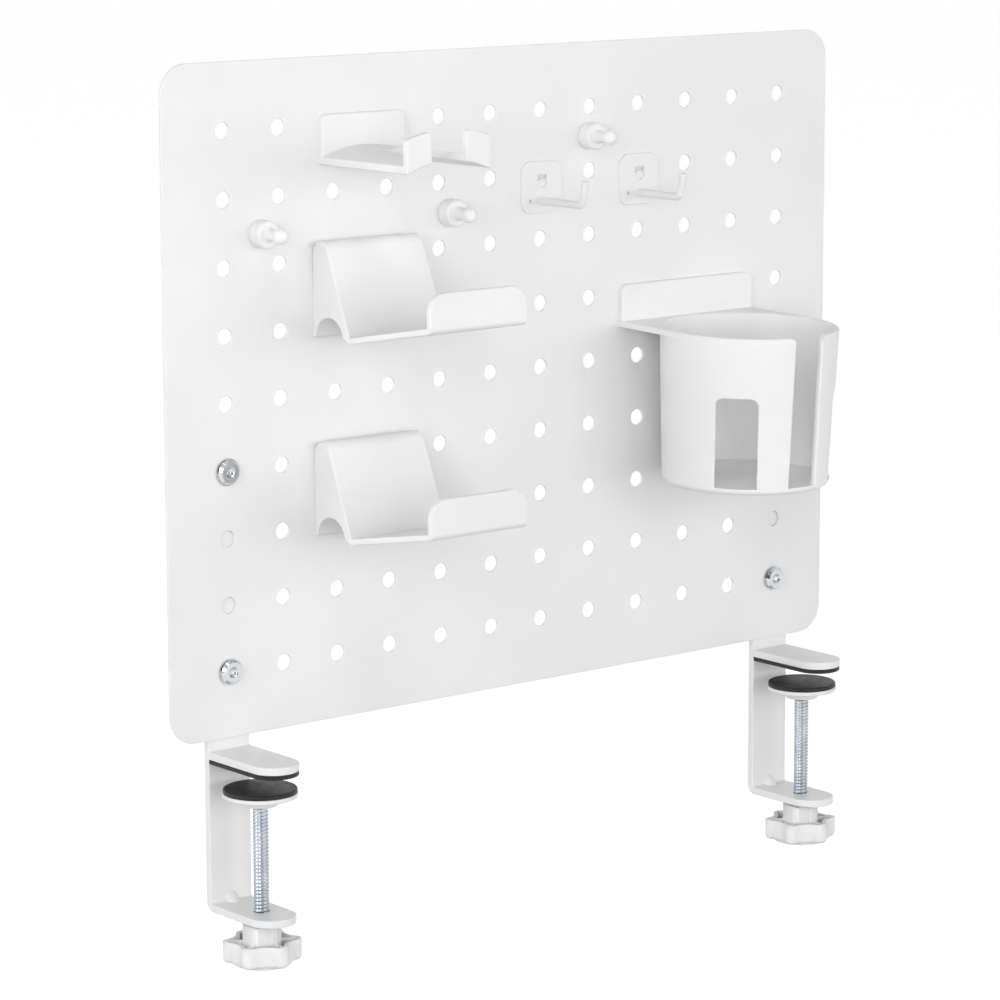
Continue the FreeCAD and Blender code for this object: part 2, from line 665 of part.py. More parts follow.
def make_cup():
    """Tapered cup hung from a shelf and a back plate, slotted and windowed."""
    x = centre_of(cup_columns)
    plate_top = row_z(cup_row) + cup_above_pegs
    shelf_top = plate_top - cup_plate_h + cup_shelf_t
    slope = cup_taper / cup_h
    sill = cup_base_t - cup_h
    window_top = sill + cup_window_h
    wall = [(0, -cup_h), (cup_foot_r, -cup_h), (cup_rim_r, 0), (0, 0)]
    outer = revolve(wall, [0, cup_foot_edge_r, 0, 0], Vector(0, 0, 0), "z")
    inner_foot = cup_foot_r - cup_wall + slope * cup_base_t
    bore = [(0, sill), (inner_foot, sill), (cup_rim_r - cup_wall, 0),
            (cup_rim_r - cup_wall, past), (0, past)]
    hollow = revolve(bore, [0, cup_floor_edge_r, 0, 0, 0], Vector(0, 0, 0), "z")
    shelf = shelf_outline().extrude(Vector(0, 0, -cup_shelf_t))
    cup = outer.fuse(shelf).cut(hollow)
    cup = fillet_where(cup, cup_rim_edge_r, lambda e: abs(e.CenterOfMass.z) < 1e-3
                       and e.CenterOfMass.y < -cup_axis_y - past)
    half = cup_slot_w / 2
    flare = half + 2 * cup_slot_corner_r
    slot = [(-half, sill), (half, sill), (half, 0), (flare, 0), (flare, past), (-flare, past),
            (-flare, 0), (-half, 0)]
    cup = cup.cut(cup_cutter(slot, [0, 0, cup_slot_corner_r, 0, 0, 0, 0, cup_slot_corner_r], 0))
    window = rectangle(-cup_window_w / 2, cup_window_w / 2, sill, window_top)
    for side in (-1, 1):
        cup = cup.cut(cup_cutter(window, [0, 0, cup_window_corner_r, cup_window_corner_r],
                                 side * cup_window_turn))

    def frames_a_window(edge):
        ends = [edge.valueAt(edge.FirstParameter), edge.valueAt(edge.LastParameter)]
        on_cone = all(abs(math.hypot(p.x, p.y) - cup_rim_r - slope * p.z) < 1e-2
                      and sill - 1e-3 < p.z < window_top + 1e-3 for p in ends)
        return on_cone and edge.CenterOfMass.z > sill + 1e-3

    def sides_the_slot(edge):
        middle = edge.valueAt((edge.FirstParameter + edge.LastParameter) / 2)
        on_cone = abs(math.hypot(middle.x, middle.y) - cup_rim_r - slope * middle.z) < 1e-2
        return on_cone and abs(abs(middle.x) - half) < 1e-2 and edge.Length > cup_h / 2

    cup = fillet_where(cup, cup_window_edge_r, frames_a_window)
    cup = fillet_where(cup, cup_slot_edge_r, sides_the_slot)
    cup.translate(Vector(x, cup_axis_y, shelf_top))
    cup.rotate(Vector(x, -cup_plate_t, shelf_top), Vector(1, 0, 0), cup_lean)
    cup = cup.cut(box(x - cup_plate_w, x + cup_plate_w, 0, cup_plate_h,
                      shelf_top - 2 * cup_h, shelf_top + cup_plate_h))
    plate = rounded_plate(x, plate_top - cup_plate_h / 2, cup_plate_w, cup_plate_h,
                          -cup_plate_t, cup_plate_t, cup_corner_r, cup_plate_edge_r)
    cup = cup.fuse(plate)
    for column in cup_columns:
        cup = cup.fuse(make_peg(column_x(column), row_z(cup_row)))
    return cup


def shelf_outline():
    """Shelf in plan: plate width at the board, sides tangent to the rim circle."""
    corner = Vector(cup_plate_w / 2, -cup_axis_y, 0)
    distance = corner.Length
    bearing = math.atan2(corner.y, corner.x)
    turn = bearing - math.acos(cup_rim_r / distance)
    right = Vector(cup_rim_r * math.cos(turn), cup_rim_r * math.sin(turn), 0)
    left = Vector(-right.x, right.y, 0)
    edges = [
        Part.makeLine(Vector(-corner.x, corner.y, 0), left),
        Part.Arc(left, Vector(0, -cup_rim_r, 0), right).toShape(),
        Part.makeLine(right, corner),
        Part.makeLine(corner, Vector(-corner.x, corner.y, 0)),
    ]
    return Part.Face(Part.Wire(edges))


# ================================================================ hooks
def make_hook_plate(column):
    """Plate with a tongue lanced from it and pushed back into the board hole."""
    x = column_x(column)
    z = row_z(hook_row) - hook_drop
    plate = rounded_plate(x, z, hook_plate, hook_plate, -hook_plate_t, hook_plate_t,
                          hook_corner_r, hook_edge_r)
    root = row_z(hook_row) + hook_tongue_root
    half = hook_tongue_w / 2
    arc_z = root - hook_tongue_h + half
    outline = [Part.makeLine(Vector(x - half, 0, root), Vector(x + half, 0, root)),
               Part.makeLine(Vector(x + half, 0, root), Vector(x + half, 0, arc_z)),
               Part.Arc(Vector(x + half, 0, arc_z), Vector(x, 0, arc_z - half),
                        Vector(x - half, 0, arc_z)).toShape(),
               Part.makeLine(Vector(x - half, 0, arc_z), Vector(x - half, 0, root))]
    shape = Part.Face(Part.Wire(outline)).extrude(Vector(0, -hook_plate_t, 0))
    plate = plate.cut(shape)
    tongue = shape.copy()
    tongue.rotate(Vector(x, -hook_plate_t, root), Vector(1, 0, 0), hook_tongue_push)
    hole = rod_y(x, row_z(hook_row), peg_r, -hook_plate_t, hook_tongue_reach)
    front = box(x - hook_tongue_w, x + hook_tongue_w, -hook_plate_t, 0,
                root - 2 * hook_tongue_h, root + hook_tongue_w)
    tongue = tongue.common(hole.fuse(front))
    web = box(x - half, x + half, -hook_plate_t, 0, root - hook_tongue_web, root + hook_tongue_web)
    plate = plate.fuse(tongue).fuse(web)
    plate = plate.cut(rod_y(x + hook_pinhole_x, z + hook_pinhole_z, hook_pinhole_d / 2,
                            -hook_plate_t - past, past))
    return plate.cut(rod_y(x, z - hook_rod_below, hook_rod_d / 2, -hook_plate_t - past, past))


def make_hook_rod(column):
    """Round rod through the plate, straight out and bent up at the end."""
    x = column_x(column)
    z = row_z(hook_row) - hook_drop - hook_rod_below
    lean = math.radians(hook_lean)
    turn = math.radians(90) - lean
    bend_start = Vector(x, -hook_reach, z)
    bend_centre = bend_start + Vector(0, 0, hook_bend_r)

    def on_bend(angle):
        return bend_centre + Vector(0, -math.sin(angle), -math.cos(angle)) * hook_bend_r

    bend_end = on_bend(turn)
    tip = bend_end + Vector(0, -math.sin(lean), math.cos(lean)) * hook_rise
    path = Part.Wire([Part.makeLine(Vector(x, 0, z), bend_start),
                      Part.Arc(bend_start, on_bend(turn / 2), bend_end).toShape(),
                      Part.makeLine(bend_end, tip)])
    section = Part.Wire(Part.makeCircle(hook_rod_d / 2, Vector(x, 0, z), Vector(0, -1, 0)))
    rod = path.makePipeShell([section], True, False)
    return fillet_where(rod, hook_tip_r, lambda e: e.CenterOfMass.z > bend_end.z + hook_rise / 2
                        and len(e.Vertexes) == 1)


# ================================================================ push pins
def make_pin(x, z):
    """Turned cap: drum, waisted neck and ball, with a pocket for the magnet."""
    base_r = pin_base_d / 2
    ball = pin_ball_d / 2
    ball_at = pin_len - ball
    waist_at = pin_base_len + (ball_at - pin_base_len) * pin_waist_share
    eased = pin_edge_r * (1 - math.sqrt(0.5))

    def place(radius, out):
        return Vector(x + radius, -out, z)

    def on_ball(degrees):
        turn = math.radians(degrees)
        return place(ball * math.cos(turn), ball_at + ball * math.sin(turn))

    rim = place(base_r, pin_base_len - pin_edge_r)
    shoulder = place(base_r - pin_edge_r, pin_base_len)
    edges = [
        Part.makeLine(place(0, 0), place(base_r, 0)),
        Part.makeLine(place(base_r, 0), rim),
        Part.Arc(rim, place(base_r - eased, pin_base_len - eased), shoulder).toShape(),
        Part.Arc(shoulder, place(pin_neck_d / 2, waist_at), on_ball(-pin_meet)).toShape(),
        Part.Arc(on_ball(-pin_meet), on_ball(pin_meet), place(0, pin_len)).toShape(),
        Part.makeLine(place(0, pin_len), place(0, 0)),
    ]
    cap = Part.Face(Part.Wire(edges)).revolve(Vector(x, 0, z), Vector(0, 1, 0), 360)
    return cap.cut(rod_y(x, z, magnet_d / 2, -magnet_t, past))


def make_magnet(x, z):
    return rod_y(x, z, magnet_d / 2, -magnet_t, 0)


# ================================================================ all pieces
def build():
    os.makedirs("parts", exist_ok=True)
    save("pegboard", make_board())
    for side, column in (("left", 0), ("right", columns - 1)):
        x = column_x(column)
        save("bracket_" + side, make_bracket(x))
        save("upper_jaw_" + side, make_upper_jaw(x))
        save("jaw_pad_" + side, make_jaw_pad(x))
        for level, row in (("top", bolt_row_top), ("low", bolt_row_bottom)):
            name = side + "_" + level
            save("bolt_" + name, make_bolt(x, row_z(row)))
            save("washer_" + name, make_washer(x, row_z(row)))
            save("nut_" + name, make_nut(x, row_z(row)))
        save("rubber_disc_" + side, make_disc(x))
        save("swivel_dish_" + side, make_dish(x))
        save("ball_stud_" + side, make_stud(x))
        save("clamp_screw_" + side, make_screw(x))
        save("clamp_knob_" + side, make_knob(x))
    for level, row in zip(("upper", "lower"), rest_rows):
        save("phone_rest_" + level, make_rest(row))
    save("headphone_hanger", make_hanger())
    save("cup_holder", make_cup())
    for side, column in zip(("left", "right"), hook_columns):
        save("hook_plate_" + side, make_hook_plate(column))
        save("hook_rod_" + side, make_hook_rod(column))
    for number, (x, z) in enumerate(pin_spots, 1):
        save("pin_cap_" + str(number), make_pin(x, z))
        save("pin_magnet_" + str(number), make_magnet(x, z))


build()
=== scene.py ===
# %% [markdown]
# # A clamp-on pegboard, finished in Blender
# The board stands on a desk edge by two screw clamps and carries two phone rests, a headphone
# hanger, a cup holder, two hooks and three magnetic pins. The solids come from the CAD model in
# metres, so every new piece is placed by the same numbers and nothing is fitted by eye. Pieces
# whose CAD shape is right keep it and only get a finish. Five forms gain from being made here:
# the perforated sheet, whose holes have a soft painted lip, the clamp screws and bolts, which need
# a real thread, the turned pin caps, and the star knobs.

# %% Load the fixed frame
import json
import math

import bpy
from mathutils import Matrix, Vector


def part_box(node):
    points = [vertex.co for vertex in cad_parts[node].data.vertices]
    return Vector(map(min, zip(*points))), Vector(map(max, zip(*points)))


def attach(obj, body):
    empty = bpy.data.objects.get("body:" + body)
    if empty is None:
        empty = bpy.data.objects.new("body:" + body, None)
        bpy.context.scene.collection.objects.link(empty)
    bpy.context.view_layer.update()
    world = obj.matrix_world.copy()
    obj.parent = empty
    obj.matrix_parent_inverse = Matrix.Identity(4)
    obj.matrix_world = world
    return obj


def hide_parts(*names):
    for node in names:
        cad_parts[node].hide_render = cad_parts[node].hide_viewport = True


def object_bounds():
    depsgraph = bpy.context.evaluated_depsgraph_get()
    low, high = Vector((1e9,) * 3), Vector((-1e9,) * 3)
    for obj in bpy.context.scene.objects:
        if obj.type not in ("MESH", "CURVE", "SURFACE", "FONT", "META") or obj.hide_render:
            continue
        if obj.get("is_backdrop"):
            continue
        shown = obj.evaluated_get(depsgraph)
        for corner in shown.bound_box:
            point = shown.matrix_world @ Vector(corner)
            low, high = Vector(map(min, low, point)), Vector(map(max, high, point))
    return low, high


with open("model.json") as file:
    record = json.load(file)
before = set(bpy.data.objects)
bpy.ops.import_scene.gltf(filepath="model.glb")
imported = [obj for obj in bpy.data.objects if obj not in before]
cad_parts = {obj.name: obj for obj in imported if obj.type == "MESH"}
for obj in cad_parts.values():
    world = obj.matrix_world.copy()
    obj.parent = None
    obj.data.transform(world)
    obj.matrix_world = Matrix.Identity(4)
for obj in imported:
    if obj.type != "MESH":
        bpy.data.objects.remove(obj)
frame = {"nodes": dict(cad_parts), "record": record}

mm = 0.001
cad_low, cad_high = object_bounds()
print("CAD box, mm:", [round(v / mm, 2) for v in (*cad_low, *cad_high)])

# %% [markdown]
# Blender's operators act on everything that is selected, and the loaded solids start out
# selected. So each step first leaves edit mode and selects one piece only. Inside a piece, corners,
# edges and faces are picked by where they are, which is what a hand does with a box select.

# %% Helpers for picking
def work_alone(piece):
    """Makes one piece the only selected and active one, in object mode."""
    if bpy.context.object and bpy.context.object.mode != "OBJECT":
        bpy.ops.object.mode_set(mode="OBJECT")
    bpy.ops.object.select_all(action="DESELECT")
    if piece:
        piece.select_set(True)
        bpy.context.view_layer.objects.active = piece


def pick(piece, kind, test):
    """Goes into edit mode with the corners, edges or faces selected whose middle passes a test."""
    bpy.ops.object.mode_set(mode="OBJECT")
    mesh = piece.data
    parts = {"VERT": mesh.vertices, "EDGE": mesh.edges, "FACE": mesh.polygons}
    for group in parts.values():
        group.foreach_set("select", [False] * len(group))
    places = [v.co.copy() for v in mesh.vertices]
    for part in parts[kind]:
        ends = [part.index] if kind == "VERT" else part.vertices
        middle = sum((places[i] for i in ends), Vector()) / len(ends)
        part.select = test(middle)
    bpy.context.tool_settings.mesh_select_mode = [kind == k for k in ("VERT", "EDGE", "FACE")]
    bpy.ops.object.mode_set(mode="EDIT")


def apply_all(piece):
    """Applies a piece's modifiers in their order, then puts its place into its mesh."""
    work_alone(piece)
    for modifier in list(piece.modifiers):
        bpy.ops.object.modifier_apply(modifier=modifier.name)
    bpy.ops.object.transform_apply(location=True, rotation=True, scale=True)


def tell(piece):
    """Prints a piece's size and its face count."""
    size = [round(v / mm, 2) for v in piece.dimensions]
    print(piece.name, size, "mm,", len(piece.data.polygons), "faces")


# %% [markdown]
# ## The perforated sheet
# The board is punched steel sheet, 1.2 mm thick, with 6.35 mm holes 25.4 mm apart, painted after
# punching, so each hole has a slightly rounded lip. It could be a slab with 108 cylinders cut out
# of it, but boolean cuts leave long thin faces that shade badly. Instead one square tile with a
# round hole is made, an array repeats it twelve by nine times and joins the tiles, the plain
# border is extruded from the outer edges, and the thickness and the lip come last.

# %% One tile with a hole
hole_pitch = 25.4 * mm
hole_radius = 3.175 * mm
sheet_thickness = 1.2 * mm
columns, rows = 12, 9
first_hole = Vector((-(columns - 1) / 2 * hole_pitch, 0, -(rows - 1) / 2 * hole_pitch))
facing_front = (math.pi / 2, 0, 0)
tile_cuts = 7
hole_corners = 32

work_alone(None)
bpy.ops.mesh.primitive_plane_add(size=hole_pitch, location=first_hole, rotation=facing_front)
pegboard_sheet = bpy.context.object
pegboard_sheet.name = "pegboard_sheet"
bpy.ops.object.transform_apply(location=True, rotation=True, scale=True)
bpy.ops.object.mode_set(mode="EDIT")
bpy.ops.mesh.select_all(action="SELECT")
bpy.ops.mesh.subdivide(number_cuts=tile_cuts)
pick(pegboard_sheet, "VERT",
     lambda p: max(abs(p.x - first_hole.x), abs(p.z - first_hole.z)) < 0.49 * hole_pitch)
bpy.ops.mesh.delete(type="VERT")
bpy.ops.mesh.primitive_circle_add(vertices=hole_corners, radius=hole_radius, fill_type="NOTHING",
                                  location=first_hole, rotation=facing_front)
bpy.ops.mesh.select_all(action="SELECT")
bpy.ops.mesh.bridge_edge_loops()
bpy.ops.object.mode_set(mode="OBJECT")
tell(pegboard_sheet)

# %% Twelve by nine tiles
for name, count, step in (("across", columns, (hole_pitch, 0, 0)),
                          ("up", rows, (0, 0, hole_pitch))):
    repeat = pegboard_sheet.modifiers.new("tiles_" + name, "ARRAY")
    repeat.count = count
    repeat.use_relative_offset = False
    repeat.use_constant_offset = True
    repeat.constant_offset_displace = step
    repeat.use_merge_vertices = True
    repeat.merge_threshold = 0.01 * mm
apply_all(pegboard_sheet)
tell(pegboard_sheet)

# %% The plain border and the round corners
side_border = 14.6 * mm
end_border = 12.7 * mm
corner_radius = 11.5 * mm
near = 0.05 * mm
half_width = columns / 2 * hole_pitch
half_height = rows / 2 * hole_pitch
for turn in (-1, 1):
    pick(pegboard_sheet, "EDGE", lambda p: abs(p.x - turn * half_width) < near)
    bpy.ops.mesh.extrude_region_move(TRANSFORM_OT_translate={"value": (turn * side_border, 0, 0)})
for turn in (-1, 1):
    pick(pegboard_sheet, "EDGE", lambda p: abs(p.z - turn * half_height) < near)
    bpy.ops.mesh.extrude_region_move(TRANSFORM_OT_translate={"value": (0, 0, turn * end_border)})
half_width += side_border
half_height += end_border
pick(pegboard_sheet, "VERT",
     lambda p: abs(p.x) > half_width - near and abs(p.z) > half_height - near)
bpy.ops.mesh.bevel(offset_type="OFFSET", offset=corner_radius, segments=8, affect="VERTICES")
bpy.ops.mesh.select_all(action="SELECT")
bpy.ops.mesh.remove_doubles(threshold=0.005 * mm)
bpy.ops.mesh.normals_make_consistent(inside=False)
bpy.ops.object.mode_set(mode="OBJECT")
if pegboard_sheet.data.polygons[0].normal.y > 0:
    bpy.ops.object.mode_set(mode="EDIT")
    bpy.ops.mesh.flip_normals()
    bpy.ops.object.mode_set(mode="OBJECT")
tell(pegboard_sheet)

# %% Thickness and the painted lip
lip_width = 0.28 * mm
bpy.ops.object.shade_smooth()
thickness = pegboard_sheet.modifiers.new("thickness", "SOLIDIFY")
thickness.thickness = sheet_thickness
thickness.offset = -1
lip = pegboard_sheet.modifiers.new("painted_lip", "BEVEL")
lip.width = lip_width
lip.segments = 2
lip.limit_method = "ANGLE"
lip.angle_limit = math.radians(40)
lip.harden_normals = True
apply_all(pegboard_sheet)
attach(pegboard_sheet, "board")
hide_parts("pegboard")
tell(pegboard_sheet)

# %% [markdown]
# ## The clamp screws
# Each clamp screw is a 6 mm rod with a rolled right-hand thread that rises 1.4 mm a turn. A stack
# of rings would look like a thread from far away, but a real one is a single ridge that winds up
# the rod. The outline of one turn is drawn from a strip of points, and the Screw modifier carries
# it round and up. The rod is wound two turns too long at both ends and bisected to length, which
# closes the ends at the same time. The bolts need a thread too, so this is a helper.

# %% Wind a thread
def wind_thread(name, foot, length, lead, root, ridge):
    """A threaded rod that stands on foot. ridge gives the height of the ridge above the root, in
    millimetres, at so many eighths of a turn from its crest."""
    spare = Vector((0, 0, 2 * lead))
    work_alone(None)
    bpy.ops.mesh.primitive_grid_add(x_subdivisions=1, y_subdivisions=8, size=lead,
                                    location=foot - spare, rotation=facing_front)
    rod = bpy.context.object
    rod.name = name
    bpy.ops.object.transform_apply(location=False, rotation=True, scale=True)
    pick(rod, "VERT", lambda p: p.x > 0)
    bpy.ops.mesh.delete(type="VERT")
    bpy.ops.mesh.select_all(action="SELECT")
    bpy.ops.transform.translate(value=(root + lead / 2, 0, 0))
    for steps_out, height in ridge.items():
        pick(rod, "VERT", lambda p: abs(abs(p.z) - steps_out * lead / 8) < lead / 32)
        bpy.ops.transform.translate(value=(height * mm, 0, 0))
    bpy.ops.object.mode_set(mode="OBJECT")
    winding = rod.modifiers.new("winding", "SCREW")
    winding.axis = "Z"
    winding.screw_offset = lead
    winding.iterations = round((length + 2 * spare.z) / lead)
    winding.steps = winding.render_steps = 24
    apply_all(rod)
    bpy.ops.object.mode_set(mode="EDIT")
    bpy.ops.mesh.select_all(action="SELECT")
    bpy.ops.mesh.remove_doubles(threshold=0.002 * mm)
    for end, outward in ((foot.z + length, 1), (foot.z, -1)):
        bpy.ops.mesh.select_all(action="SELECT")
        bpy.ops.mesh.bisect(plane_co=(foot.x, foot.y, end), plane_no=(0, 0, outward),
                            use_fill=True, clear_outer=True)
    bpy.ops.mesh.select_all(action="SELECT")
    bpy.ops.mesh.normals_make_consistent(inside=False)
    bpy.ops.object.mode_set(mode="OBJECT")
    return rod


# %% The left rod, drilled for its ball stud, and its copy on the right
bore_depth = 6.5 * mm
bore_wall = 0.9 * mm
thread_lead = 1.4 * mm
thread_root = 2.70 * mm
thread_ridge = {0: 0.29, 1: 0.25, 2: 0.13, 3: 0.03}
screw_low, screw_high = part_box("clamp_screw_left")
axis = (screw_low + screw_high) / 2
clamp_rod_left = wind_thread("clamp_rod_left", Vector((axis.x, axis.y, screw_low.z)),
                             screw_high.z - screw_low.z, thread_lead, thread_root, thread_ridge)
pick(clamp_rod_left, "FACE", lambda p: p.z > screw_high.z - 0.01 * mm)
bpy.ops.mesh.inset(thickness=bore_wall)
bpy.ops.mesh.extrude_region_move(TRANSFORM_OT_translate={"value": (0, 0, -bore_depth)})
work_alone(clamp_rod_left)
bpy.ops.object.shade_smooth_by_angle(angle=math.radians(50))
bpy.ops.object.duplicate()
clamp_rod_right = bpy.context.object
clamp_rod_right.name = "clamp_rod_right"
bpy.ops.transform.translate(value=(-2 * axis.x, 0, 0))
bpy.ops.object.transform_apply(location=True, rotation=True, scale=True)
for rod, side in ((clamp_rod_left, "left"), (clamp_rod_right, "right")):
    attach(rod, "screw_" + side)
    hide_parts("clamp_screw_" + side)
    tell(rod)

# %% [markdown]
# ## Turned pieces
# The bolt heads and the pin caps are round about one axis, as if turned on a lathe. Their outline
# is drawn as a lathe tool would run along it, by extruding one corner after another, and Spin
# carries it round. That gives an even mesh whose edges follow the form, which a boolean of
# cylinders and balls doesn't.

# %% Turn an outline
def turned(name, outline, around):
    """Turns an outline of (radius, height) corners in millimetres about an axis that points to
    the front, with so many steps around."""
    work_alone(None)
    bpy.ops.mesh.primitive_plane_add(size=mm)
    piece = bpy.context.object
    piece.name = name
    bpy.context.tool_settings.mesh_select_mode = (True, False, False)
    bpy.ops.object.mode_set(mode="EDIT")
    bpy.ops.mesh.select_all(action="SELECT")
    bpy.ops.mesh.merge(type="CENTER")
    here = Vector((0, 0, 0))
    for radius, height in outline:
        there = Vector((radius, -height, 0)) * mm
        if here != there:
            bpy.ops.mesh.extrude_region_move(TRANSFORM_OT_translate={"value": there - here})
        here = there
    bpy.ops.mesh.select_all(action="SELECT")
    bpy.ops.mesh.spin(steps=around, angle=2 * math.pi, center=(0, 0, 0), axis=(0, 1, 0))
    bpy.ops.mesh.select_all(action="SELECT")
    bpy.ops.mesh.remove_doubles(threshold=0.002 * mm)
    bpy.ops.mesh.normals_make_consistent(inside=False)
    bpy.ops.object.mode_set(mode="OBJECT")
    return piece


def bend(radius, height, size, start, end, steps):
    """Corners along an arc of the outline: its centre, its size and two angles, in degrees from
    straight out to straight forward."""
    turns = [math.radians(start + (end - start) * i / steps) for i in range(steps + 1)]
    return [(radius + size * math.cos(a), height + size * math.sin(a)) for a in turns]


def set_down(piece, name, place):
    """A copy of a piece, with its own mesh, moved from the origin to its place."""
    work_alone(piece)
    bpy.ops.object.duplicate()
    copied = bpy.context.object
    copied.name = name
    bpy.ops.transform.translate(value=place)
    bpy.ops.object.transform_apply(location=True, rotation=True, scale=True)
    return copied


# %% [markdown]
# ### The button bolts
# Four M5 bolts with flat button heads hold the board. The head is turned with a wide bevel round
# a flat face, because that bevel is what catches the light. A six-sided cutter sinks the socket
# into a bowl, and a threaded shank is joined on behind.

# %% One bolt head with its socket
seat_height = 0.8 * mm
head_radius, face_radius, socket_edge = 4.75, 3.85, 2.1
rim_height, head_height = 0.6, 1.6
socket_radius = 1.75 * mm
cutter_length = 3 * mm
cutter_middle = 2.5 * mm
shank_start = 0.5 * mm
shank_length = 10.5 * mm
bolt_lead = 0.8 * mm
bolt_root = 2.05 * mm
bolt_ridge = {0: 0.40, 1: 0.34, 2: 0.17, 3: 0.03}
head = turned("bolt_head",
              [(0, 0), (head_radius, 0), (head_radius, rim_height), (face_radius, head_height),
               (socket_edge, head_height), (1.85, 1.4), (1.5, 0.95), (0.8, 0.55), (0, 0.45)], 48)
bpy.ops.mesh.primitive_cylinder_add(vertices=6, radius=socket_radius, depth=cutter_length,
                                    location=(0, -cutter_middle, 0), rotation=facing_front)
cutter = bpy.context.object
socket = head.modifiers.new("socket", "BOOLEAN")
socket.operation = "DIFFERENCE"
socket.object = cutter
apply_all(head)
bpy.data.objects.remove(cutter)
shank = wind_thread("bolt_shank", Vector((0, 0, 0)), shank_length, bolt_lead, bolt_root,
                    bolt_ridge)
work_alone(shank)
shank.rotation_euler = (-math.pi / 2, 0, 0)
shank.location = (0, -shank_start, 0)
bpy.ops.object.transform_apply(location=True, rotation=True, scale=True)
head.select_set(True)
bpy.context.view_layer.objects.active = head
bpy.ops.object.join()
bpy.ops.object.shade_smooth_by_angle(angle=math.radians(35))
tell(head)

# %% Four bolts
button_bolts = []
for place in ("left_top", "left_low", "right_top", "right_low"):
    low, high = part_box("bolt_" + place)
    spot = Vector(((low.x + high.x) / 2, -seat_height, (low.z + high.z) / 2))
    bolt = set_down(head, "button_bolt_" + place, spot)
    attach(bolt, "board")
    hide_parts("bolt_" + place)
    button_bolts.append(bolt)
bpy.data.objects.remove(head)
print("bolts:", [bolt.name for bolt in button_bolts])

# %% [markdown]
# ### The pin caps
# A push pin is turned in one piece: a drum that covers the magnet, a rounded collar, a short neck
# and a ball to pull on. The collar's rounding is generous, and the neck meets it in a hollow.

# %% One pin cap, and the three on the board
drum, collar, neck, hollow, ball = 5.25, 1.25, 2.25, 1.1, 3.05
cap = turned("pin_cap",
             [(0, 0), (5.05, 0), (drum, 0.2), *bend(drum - collar, 4.75, collar, 0, 100, 9),
              *bend(neck + hollow, 7.05, hollow, 270, 180, 6), (neck, 9.6),
              *bend(0, 12.65, ball, -48, 90, 14)], 56)
work_alone(cap)
bpy.ops.object.shade_smooth_by_angle(angle=math.radians(40))
pin_caps = []
for number in (1, 2, 3):
    low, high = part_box("pin_cap_%d" % number)
    spot = Vector(((low.x + high.x) / 2, high.y, (low.z + high.z) / 2))
    pin = set_down(cap, "turned_pin_%d" % number, spot)
    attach(pin, "pin_%d" % number)
    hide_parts("pin_cap_%d" % number)
    pin_caps.append(pin)
    tell(pin)
bpy.data.objects.remove(cap)

# %% [markdown]
# ## The star knobs
# The CAD knob has hollow flanks from top to bottom. A moulded knob leaves its mould downward, so
# its flanks run out to a plain hexagon at the foot. That is a small change to a good solid: a copy
# is merged, its lower outline is picked a narrow slice at a time, and each slice is scaled out
# from the axis until it meets the hexagon.

# %% Run the flanks out to a hexagon
flat_to_axis = 12.7 * mm
foot_radius = 11.25 * mm
wall_foot = 2.6 * mm
close = 0.1 * mm
tips = 6
slices = 30


def out(p, axis):
    """Distance of a place from an upright axis."""
    return math.hypot(p.x - axis.x, p.y - axis.y)


def from_flank(p, axis):
    """Angle between a place and the middle of the nearest flank."""
    turn = math.atan2(p.y - axis.y, p.x - axis.x)
    return abs((turn + math.pi / tips) % (2 * math.pi / tips) - math.pi / tips)


star_knobs = []
for side in ("left", "right"):
    low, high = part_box("clamp_knob_" + side)
    axis = (low + high) / 2
    solid = frame["nodes"]["clamp_knob_" + side]
    knob = bpy.data.objects.new("star_knob_" + side, solid.data.copy())
    bpy.context.collection.objects.link(knob)
    work_alone(knob)
    bpy.ops.object.mode_set(mode="EDIT")
    bpy.ops.mesh.select_all(action="SELECT")
    bpy.ops.mesh.remove_doubles(threshold=0.001 * mm)
    bpy.ops.object.mode_set(mode="OBJECT")
    outline = [(from_flank(v.co, axis), out(v.co, axis)) for v in knob.data.vertices
               if abs(v.co.z - low.z - wall_foot) < close and out(v.co, axis) > foot_radius]
    for i in range(slices):
        start, end = (math.pi / tips * (i + k) / slices for k in (0, 1))
        angle = (start + end) / 2
        reach = min(outline, key=lambda place: abs(place[0] - angle))[1]
        wanted = flat_to_axis / math.cos(angle)
        if reach < wanted:
            pick(knob, "VERT", lambda p: start <= from_flank(p, axis) < end
                 and out(p, axis) > foot_radius and p.z < low.z + wall_foot + close)
            bpy.ops.transform.resize(value=(wanted / reach, wanted / reach, 1),
                                     center_override=axis)
    widest = max(out(v.co, axis) for v in knob.data.vertices)
    print("knob foot reaches", round(widest / mm, 2), "mm")
    work_alone(knob)
    bpy.ops.object.shade_smooth_by_angle(angle=math.radians(35))
    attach(knob, "screw_" + side)
    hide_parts("clamp_knob_" + side)
    star_knobs.append(knob)
    tell(knob)

# %% [markdown]
# ## Finishes
# A finish is colour, gloss and skin together. Even new white paint isn't one flat tone: its colour
# drifts a little over a hand's width, its gloss changes over a few millimetres, and the powder
# melts into a fine orange-peel skin. All three come from noise that is read in object
# coordinates, so the grain has a real size in millimetres and stays on the piece when it moves.

